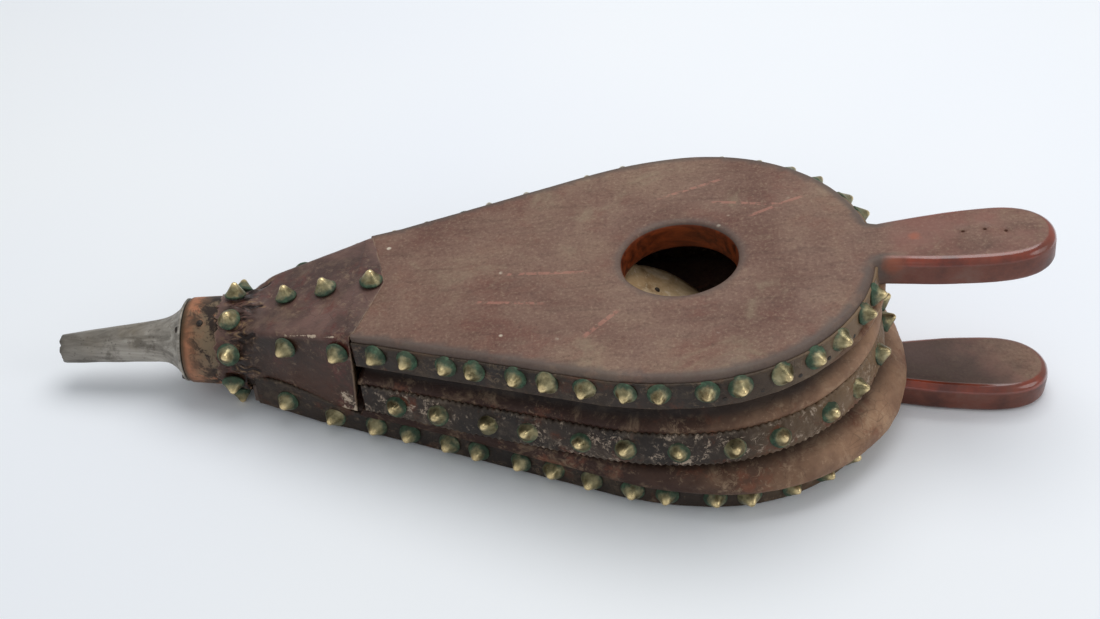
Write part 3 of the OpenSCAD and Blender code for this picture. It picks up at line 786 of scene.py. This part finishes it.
def both_sides(distances, z):
    """Studs as band_mesh takes them."""
    return [(side * (EDGE_LEN - t), z) for t in distances for side in (1, -1)]


def split_band(name, place, start, body, material, replaced, **band):
    """The strip of a board, in two lengths that stop at the handle."""
    verts, faces, run, across = [], [], [], []
    for side in (-1, 1):
        v, f, r, a = band_mesh(place, *sorted((side * start, side * HANDLE_W)), **band)
        faces += [tuple(len(verts) + k for k in q) for q in f]
        verts, run, across = verts + v, run + r, across + a
    piece(name, verts, faces, body, "dark_leather", material, [replaced], run=run, across=across)


split_band("upper_strip_leather", in_upper, EDGE_LEN - 0.8, "upper_part", EDGE_LEATHER, "upper_edge_strip",
           low=lambda w: -1.8, high=lambda w: BOARD_T - 2.8, studs=both_sides(UPPER_STUDS, BOARD_T / 2),
           ripple=0.35, seed=1, belly=lambda w, r: 0.5 * (1 - r) * smooth(200, 60, abs(w)))


def rib_belly(w, r):
    """The rib's strip leans back: it stands out more at the bottom than at the top."""
    return (0.6 + 2.2 * smooth(EDGE_LEN, EDGE_LEN - 60, abs(w))) * (1 - ((r - 0.3) / 0.7) ** 2 if r > 0.3 else 1)


RIB_STRIP_END, RIB_STRIP_HALF = EDGE_LEN + 1.1, 9.0
v, f, run, across = band_mesh(in_rib, -RIB_STRIP_END, RIB_STRIP_END, lambda w: -RIB_STRIP_HALF,
                              lambda w: RIB_STRIP_HALF, both_sides(RIB_STUDS, 0), ripple=0.6, seed=4,
                              belly=rib_belly, teeth=(1.5, 1.7))
piece("rib_strip_leather", v, f, "rib", "dark_leather", RIB_LEATHER, ["rib_edge_strip"], run=run, across=across)


def lower_low(w):
    """The lower strip's bottom edge follows the board's, which rises towards the head."""
    return 0.9 + max(0.0, abs(w) - EDGE_LEN - 33.5) * 0.104


def lower_high(w):
    """Its top edge climbs to the cuff beside the head."""
    return 14.4 + 10.5 * smooth(EDGE_LEN + 2, EDGE_LEN + 58, abs(w))


split_band("lower_strip_leather", in_lower, EDGE_LEN + 68, "lower_part", EDGE_LEATHER, "lower_edge_strip",
           low=lower_low, high=lower_high, teeth=(0, 1.1), pitch=2.8, studs=both_sides(LOWER_STUDS, BOARD_T / 2),
           ripple=0.35, seed=8, side_of=lower_edge,
           belly=lambda w, r: 1.3 * r * smooth(EDGE_LEN - 4, EDGE_LEN + 12, abs(w)))

# ------------------------------------------------------------------ gusset leathers
def gusset(name, low, high, profile, bodies, shares, replaced, rests_on, flat, area, seed):
    """Leather between two sides. low and high: (place, height, where it starts along the side, side function).
    profile(b, v) gives how far it stands out, its shift up and its shade. b is 0 at the hinge and 1 at the rear,
    and v is 0 low and 1 high. shares: two values that a weight goes between, low and high; the weight is not used."""
    columns, rows = 300, 34
    verts, weight, shade, rear = [], [], [], []
    for i in range(columns + 1):
        u = i / columns * 2 - 1
        for j in range(rows + 1):
            v = j / rows
            out, up, dark = profile(1 - abs(u), v)
            ends = []
            for place, z, start, side_of in (low, high):
                w = u * (EDGE_LEN - start)
                soft = (0.9 * wave(w * 0.05, v * 2.5, seed) + 0.5 * wave(w * 0.15, v * 4, seed + 4)
                        + 0.25 * wave(w * 0.4, v * 8, seed + 8)) * sin(pi * v)
                ends.append(place(*rim(w, out + soft, side_of), z))
            verts.append(ends[0].lerp(ends[1], v) + Vector((0, 0, up)))
            weight.append(mix(*shares, smooth(0.0, 1.0, v)))
            shade.append(dark)
            rear.append(1 - abs(u))
    obj = piece(name, verts, grid_faces(columns + 1, rows + 1), None, "gusset_leather", GUSSET, [replaced],
                shade=shade, rear=rear)
    thicken(obj, GUSSET_T, 1)
    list(bodies)
    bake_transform(obj)
    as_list(rests_on)


def upper_profile(b, v):
    """Flat and at its own colour against the rib, then a deep crease under the upper board, painted dark as shade.
    """
    rear = smooth(0.5, 0.97, b)
    crease = mix(-9.0, -9.5, rear)
    points = [(0.0, -1.0), (0.15, mix(-1.5, 1.6, rear)), (0.36, mix(-5.5, -0.5, rear)), (0.6, crease * 0.9),
              (0.76, crease), (0.86, mix(crease, 2.5, rear)), (0.95, mix(-2.0, 3.6, rear)), (1.0, -0.4)]
    back = smooth(0.6, 1.0, b)
    shade = smooth(mix(0.12, 0.42, back), mix(0.42, 0.66, back), v) * (1 - 0.9 * back * smooth(0.8, 0.88, v))
    return spline(points, v), 0.0, 1 - shade


def lower_profile(b, v):
    """A roll over the lower strip that sags a little, and a fold under the rib, painted dark as shade."""
    roll = mix(1.6, 13.0, smooth(0.1, 0.95, b) ** 1.2)
    points = [(0.0, 0.3), (0.07, roll * 0.55), (0.2, roll * 0.9), (0.38, roll), (0.55, roll * 0.93),
              (0.7, roll * 0.6), (0.82, roll * 0.1 - 2), (0.92, mix(-4.5, -6.5, b)), (1.0, -0.2)]
    sag = mix(0.4, 3.5, smooth(0.3, 1, b)) * sin(pi * v)
    return spline(points, v), -sag, smooth(0.86, 0.66, v) * mix(0.75, 1, b)


def spline(points, v):
    """Smooth value at v through a list of (v, value)."""
    for k in range(len(points) - 1):
        if v <= points[k + 1][0] or k == len(points) - 2:
            (x0, y0), (x1, y1) = points[k], points[k + 1]
            before = points[k - 1] if k else points[k]
            after = points[k + 2] if k + 2 < len(points) else points[k + 1]
            t = (v - x0) / (x1 - x0)
            m0 = (y1 - before[1]) / max(1e-6, x1 - before[0]) * (x1 - x0)
            m1 = (after[1] - y0) / max(1e-6, after[0] - x0) * (x1 - x0)
            return ((2 * t ** 3 - 3 * t * t + 1) * y0 + (t ** 3 - 2 * t * t + t) * m0
                    + (3 * t * t - 2 * t ** 3) * y1 + (t ** 3 - t * t) * m1)


gusset("upper_gusset", (in_rib, 7.6, -3.4, edge), (in_upper, 0.4, 0.9, edge), upper_profile,
       ("lower_part", "upper_part"), (0.5, 1.0), "upper_leather", ["rib_frame", "upper_board"], (0.62, 0.075),
       0.0165, 2)
gusset("lower_gusset", (in_lower, 13.6, -9.0, lower_edge), (in_rib, -7.6, -3.4, edge), lower_profile,
       ("lower_part", "rib"), (0.0, 1.0), "lower_leather", ["lower_board", "rib_frame"], (0.64, 0.1), 0.022, 6)

# ------------------------------------------------------------------ head, neck and cuff
HEAD_TOP = HINGE.z - 0.8
HEAD_REAR = -2.2                           # behind this the cuff is a lap on the upper board
BOX_END, NECK_START = -47, -63             # the head is a box behind the first and round before the second


def head_top(x):
    """Height of the head block's top."""
    return mix(HEAD_TOP, HEAD_FRONT_Z, (-2 - x) / (HEAD_LEN - 2))


def head_hw(x):
    return HINGE_HW + tan(TAPER) * x


def neck_radius(x):
    return mix(NECK_R, NECK_FRONT_R, (-HEAD_LEN - x) / NECK_LEN)


def section(x, a, grow):
    """Point on the head at X = x in direction a from its middle: a box behind, a circle at the neck."""
    c, s = cos(a), sin(a)
    hw = max(head_hw(x), 12) + grow
    reach = head_top(x) + grow - NECK_Z if s > 0 else BOARD_T - 1.0 - NECK_Z
    n = 22.0                               # power of the superellipse: a box with slightly rounded corners
    box = (abs(c / hw) ** n + abs(s / reach) ** n) ** (-1 / n)
    r = mix(box, neck_radius(min(x, -HEAD_LEN)) + grow, smooth(BOX_END, NECK_START, x))
    return c * r, NECK_Z + s * r


around = 180
profile = [HEAD_REAR, -6] + [-12 - 6 * i for i in range(8)] + [-57, -61, -66, -72, -78, -84, -89]
verts = [in_head(x, *section(x, a, -0.15)) for x in profile for a, _, _ in circle(around)]
for x, r in ((-91.2, 22.3), (-92.6, 21.6), (-93.0, 20.4), (-93.0, 9.4)):
    verts += [in_head(x, r * c, NECK_Z + r * s) for _, c, s in circle(around)]
verts += [in_head(HEAD_REAR, v.y, v.z) for v in verts[-around:]]     # the rear end of the air channel
faces = grid_faces(len(profile) + 5, around, around=True, closed=True)
piece("head_wood_block", verts, faces, "lower_part", "head_wood", HEAD_WOOD, ["head_block"])

# the cuff runs over the hinge as a pointed lap, so it bends there
columns, around = 110, 300
CUFF_FRONT = -74.2
RING_STUDS, RING_STEP, RING_TURN = 9, 40, 13.5                      # degrees
# tucks between the ring's studs: direction, lean along X, and where they end
TUCKS = [(radians(90 + RING_STEP / 2 - RING_TURN + RING_STEP * i) + 0.12 * wave(i * 1.7, 5),
          0.02 * wave(i * 2.3, 8), -50 - 4 * wave(i * 3.1, 2)) for i in range(RING_STUDS)]


def tuck_depth(x, a):
    """1 in the middle of a tuck, 0 between them and behind and before the ring."""
    def one(at, lean, end):
        off = remainder(a - at - lean * (x + 57) - 0.12 * wave(x * 0.16, at), 2 * pi)
        return exp(-(off / 0.06) ** 2) * smooth(end + 2, end - 3, x)

    return max(one(*tuck) for tuck in TUCKS) * smooth(-66, -60, x)


verts, across, ring, top, rubbed, tucks = [], [], [], [], [], []
for i in range(columns):
    u = i / (columns - 1)
    for j in range(around + 1):
        a = -pi / 2 + 2 * pi * j / around
        c, s = cos(a), sin(a)
        front = (CUFF_FRONT + 1.5 * wave(3 * c, 3 * s, 1) - 2.6 * max(0, wave(9 * c, 9 * s, 2))
                 + wave(23 * c, 23 * s, 5))
        y_rear, z_rear = section(-3, a, 0)
        on_top = z_rear > HEAD_TOP - 0.9
        if on_top:
            rear = mix(1.0, 12.8, 1 - abs(y_rear) / HINGE_HW) + 0.2 * wave(y_rear * 0.25, 3)
        else:
            rear = -0.3 - 0.7 * smooth(43, 18, z_rear) + 0.15 * wave(z_rear * 0.3, 7)
        x = mix(front, rear, u)
        at_ring = smooth(-50, -60, x) * smooth(-74, -66, x)
        pucker = 2.2 * wave(4.5 * c, 4.5 * s, x * 0.06) + 1.5 * wave(11 * c, 11 * s, x * 0.2)
        soft = 0.5 * wave(x * 0.06, 3 * c, 3 * s) + 0.2 * wave(x * 0.25, 8 * c, 8 * s)
        tuck = tuck_depth(x, a)
        raised = 1.5 * smooth(-47, -54, x) * smooth(-64, -57, x)
        if x > HEAD_REAR and on_top:
            lift = 0.25 + 0.15 * (1 + soft) * smooth(12, 4, x)
            p = in_upper(x, y_rear * head_hw(x) / HINGE_HW, BOARD_T + lift)
        else:
            swell = (raised + at_ring * max(-0.3, pucker)) * (1 - tuck)
            p = in_head(x, *section(x, a, 0.55 + 0.35 * soft * (1 - smooth(-14, -4, x)) + swell))
        verts.append(p)
        across.append(0.5 + 0.5 * smooth(0.96, 1.0, u) - 0.5 * smooth(0.04, 0.0, u))
        ring.append(at_ring)
        # top: 1 on the cuff's upper faces and 0 on its sides, which the material paints darker as shade
        roof = smooth(-3.0, -1.0, p.z - head_top(min(x, 0)))
        top.append(mix(roof, smooth(0.2, 0.8, s), smooth(BOX_END, NECK_START, x)) if x < 1 else 1.0)
        from_corner = atan2(s / max(1.0, head_top(x) - NECK_Z), -c / head_hw(x)) - pi / 4
        crease = 1.1 * exp(-(from_corner / 0.022) ** 2) * smooth(-38, -34, x) * smooth(-5, -9, x)
        corner = smooth(-13, -7, x) * smooth(34, 26, p.z) * (0.35 + 0.65 * (c < 0))
        rubbed.append(max(crease, corner * (s < 0.9)))
        tucks.append(tuck)
faces = []                                 # without those below the lower board's edge strip
for f in grid_faces(columns, around + 1):
    x, z = sum(verts[k].x for k in f) / 4 - HINGE.x, sum(verts[k].z for k in f) / 4
    if x < -60 or z > 15.4 + 8 * smooth(-16, -52, x):
        faces.append(f)
cuff = piece("cuff_hide", verts, faces, None, "dark_leather", CUFF_LEATHER, ["front_cuff", "cuff_flap"],
             across=across, ring=ring, top=top, rubbed=rubbed, tuck=tucks)
thicken(cuff, LEATHER_T, 1)
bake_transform(cuff)

# ------------------------------------------------------------------ nozzle
FACE = -HEAD_LEN - NECK_LEN
THROAT, TIP = FACE - FLANGE_LEN, FACE - NOZZLE_LEN


def nozzle_axis(x):
    """The axis runs level through the flange and droops along the tube."""
    down = max(0.0, THROAT + 3 - x)
    bend = TUBE_DROOP * smooth(THROAT + 6, THROAT - 6, x)
    return in_head(x, 0, NECK_Z - down * tan(TUBE_DROOP)), Vector((-cos(bend), 0, -sin(bend)))


outer = [(FACE - x, r) for x, r in (
    (-0.3, 19.5), (0.1, 21.0), (0.6, 21.6), (1.3, 21.6), (1.9, 20.9), (2.6, 19.6), (3.8, 17.9), (5.4, 16.1),
    (7.4, 14.5), (9.6, 13.1), (12, 12.1), (FLANGE_LEN, 11.6))]
outer += [(mix(THROAT, TIP, i / 16), mix(11.3, 7.6, i / 16)) for i in range(1, 17)]
inner = [(TIP, 5.9), (TIP + 1.2, 5.1), (TIP + 12, 5.0), (TIP + 40, 5.0), (THROAT, 5.1), (FACE, 6.0)]
around, n_outer = 56, len(outer)
verts, faces = turned(outer + inner, nozzle_axis, around, 0.35, 3)
for i, share in enumerate((0.35, 0.7, 1.0, 1.0, 0.8), n_outer - 3):  # rings round the tip, which is worn back
    for k, (_, c, s) in enumerate(circle(around)):
        torn = 1.9 * max(0, wave(2.2 * c, 2.2 * s, 4)) + 0.7 * abs(wave(6 * c, 6 * s, 9))
        verts[i * around + k] += Vector((torn * share, 0, 0))
worn = [smooth(FACE - 1.2, FACE + 0.2, v.x - HINGE.x) if i < around * 5 else 0 for i, v in enumerate(verts)]
worn[around * n_outer:] = [1.0] * (len(verts) - around * n_outer)
piece("nozzle_cast", verts, faces, "lower_part", "grey_metal", PEWTER, ["nozzle"], worn=worn)


# ------------------------------------------------------------------ studs
def studs(name, body, node, points, lift=0.0):
    v, f, rise, token = stud_mesh(points, lift)
    piece(name, v, f, body, "aged_brass", BRASS, [node], rise=rise, token=token)


studs("upper_studs", "upper_part", "upper_row_studs", side_studs(in_upper, UPPER_STUDS, BOARD_T / 2, 1.3), 0.12)
studs("rib_studs", "rib", "rib_row_studs", side_studs(in_rib, RIB_STUDS, 0, 3.0), 0.42)
points = side_studs(in_lower, LOWER_STUDS, BOARD_T / 2, 1.5, lower_edge)
points += side_studs(in_lower, [-50], 12.6, 2.6, lower_edge)
studs("lower_studs", "lower_part", "lower_row_studs", points, 0.08)
points, r = [], NECK_R + LEATHER_T + 0.2
for i in range(RING_STUDS):
    a = radians(RING_STEP * i - RING_TURN)
    c, s = cos(a), sin(a)
    if c > -0.86:                          # the place underneath stays free
        points.append((in_head(-HEAD_LEN - 9, -s * r, NECK_Z + c * r), Vector((0, -s, c))))
studs("ring_studs", "lower_part", "neck_ring_studs", points)
slope = atan((HEAD_TOP - HEAD_FRONT_Z) / (HEAD_LEN - 2))
out = Vector((-sin(slope), 0, cos(slope)))
points = [(in_head(x, 0, head_top(x) + LEATHER_T + 0.3), out) for x in (-39, -18)]
for x, z in ((-35, 49.5), (-7, 54.5)):
    for side in (1, -1):
        y = head_hw(x) + LEATHER_T + 0.1
        points.append((in_head(x, side * y, z), Vector((-sin(TAPER), side * cos(TAPER), 0))))
studs("cuff_nails", "lower_part", "cuff_studs", points)
studs("flap_nail", "upper_part", "cuff_flap_stud",
      [(in_upper(6, 0, BOARD_T + LEATHER_T + 0.2), in_upper(6, 0, 1) - in_upper(6, 0, 0))])

# ------------------------------------------------------------------ valve leathers


def in_flap(x, y, z):
    """The frame of the valve flap, hanging open from its hinge line."""
    x, z = tilt(x - FLAP_X, z - 0.4, -FLAP_DROOP)
    return in_upper(FLAP_X + x, y, z)


def hide(name, verts, faces, body, node):
    """A piece of valve leather from its middle surface."""
    obj = piece(name, verts, faces, body, "valve_leather", VALVE_LEATHER, [node])
    thicken(obj, FLAP_T - 0.3, 0)


def flap_reach(a):
    """Distance from the flap's middle to its edge: round, with square corners at the hinge."""
    c, s = cos(a), abs(sin(a))
    if c > -0.3:
        return FLAP_R
    straight = (HOLE_X - FLAP_X - 0.8) / -c
    return min(straight, max(FLAP_R, min(straight, FLAP_HW / max(s, 0.01))))


around, rings = 144, 14
verts = [in_flap(HOLE_X, 0, -FLAP_T / 2)]
for i in range(1, rings + 1):
    share = i / rings
    for a, c, s in circle(around):
        uneven = 0.5 * (1 + wave(3 * c, 3 * s, 4)) if abs(a - pi) > 1 else 0
        r = (flap_reach(a) - uneven) * share
        x = HOLE_X + r * c
        curl = smooth(0.62, 1.0, share) * (1.1 * wave(1.6 * c, 1.6 * s, 7) - 0.3)
        verts.append(in_flap(x, r * s, -FLAP_T / 2 + curl * smooth(FLAP_X + 3, FLAP_X + 20, x)))
faces = [(0, 1 + (k + 1) % around, 1 + k) for k in range(around)]
faces += [f[::-1] for f in grid_faces(rings, around, around=True, start=1)]
hide("valve_flap_leather", verts, faces, "valve", "valve_flap")

STRIP_FROM, STRIP_LEN = FLAP_X - 18.2, 15
columns, rows, verts = 21, 57, []
for i in range(columns):
    x = STRIP_FROM + STRIP_LEN * i / (columns - 1)
    for k in range(rows):
        y = FLAP_HW * (2 * k / (rows - 1) - 1)
        y *= 1 - 0.012 * (1 + wave(x * 0.4, 3, y * 0.02))
        verts.append(in_upper(x, y, -FLAP_T / 2 - 0.5 * smooth(11, 15, x - STRIP_FROM)))
hide("valve_hinge_leather", verts, grid_faces(columns, rows), "upper_part", "valve_hinge_strip")

# ------------------------------------------------------------------ CAD pieces that keep their shape
for names, material in (
    (["rib_frame", "valve_batten", "valve_backing"], INNER_WOOD),
    (["head_screws", "nozzle_nails", "neck_tack", "upper_edge_tacks", "valve_tacks", "backing_tacks"], IRON),
):
    for name in names:
        frame["nodes"][name].data.materials.clear()
        frame["nodes"][name].data.materials.append(material)

# ------------------------------------------------------------------ floor, light and camera
floor_mesh = bpy.data.meshes.new("floor")
floor_mesh.from_pydata([(-4, -3, 0), (4, -3, 0), (4, 5, 0), (-4, 5, 0)], [], [(0, 1, 2, 3)])
floor = add_object("floor", floor_mesh)
floor.location.z = cad_box[0][2]
paper = Material("pale_paper", Roughness=0.9, Specular_IOR_Level=0.1)
tone = paper.ramp(paper.noise(2.0, 2), (0.3, srgb(243, 246, 252)), (0.7, srgb(248, 250, 252)))
paper.put(paper.bsdf, {"Base Color": tone})
floor_mesh.materials.append(paper.mat)


def area_light(name, size, power, place, target):
    data = bpy.data.lights.new(name, "AREA")
    data.shape, data.size, data.energy = "DISK", size, power
    obj = add_object(name, data)
    obj.location = place
    obj.rotation_euler = (Vector(target) - Vector(place)).to_track_quat("-Z", "Y").to_euler()


area_light("key", 1.2, 10.4, (0.15, 0.42, 1.3), (0.0, 0, 0.05))
area_light("front", 1.2, 1.2, (-0.7, -1.3, 0.8), (0.0, 0, 0.05))
area_light("right", 0.9, 3.3, (1.3, -0.5, 0.75), (0.1, 0, 0.05))
world = bpy.data.worlds.new("studio")
bpy.context.scene.world = world
world.use_nodes = True
background = world.node_tree.nodes["Background"].inputs
background["Color"].default_value, background["Strength"].default_value = (0.93, 0.97, 1.0, 1), 0.455

CAMERA_AT = (0.0328, -0.5959, 0.5346)
AZIMUTH, ELEVATION, ROLL = radians(3.14), radians(39.12), radians(-1.78)
camera = add_object("camera", bpy.data.cameras.new("camera"))
camera.data.sensor_width, camera.data.lens, camera.data.clip_start = 36, 49.2, 0.01
right = Vector((cos(AZIMUTH), sin(AZIMUTH), 0))
level = Vector((-sin(AZIMUTH), cos(AZIMUTH), 0))
ahead = level * cos(ELEVATION) - Vector((0, 0, sin(ELEVATION)))
up = right.cross(ahead)
right, up = cos(ROLL) * right + sin(ROLL) * up, cos(ROLL) * up - sin(ROLL) * right
rows = zip(right, up, -ahead, CAMERA_AT)
camera.matrix_world = Matrix((*rows, (0, 0, 0, 1)))
bpy.context.scene.camera = camera
bpy.context.scene.view_settings.view_transform = "Standard"
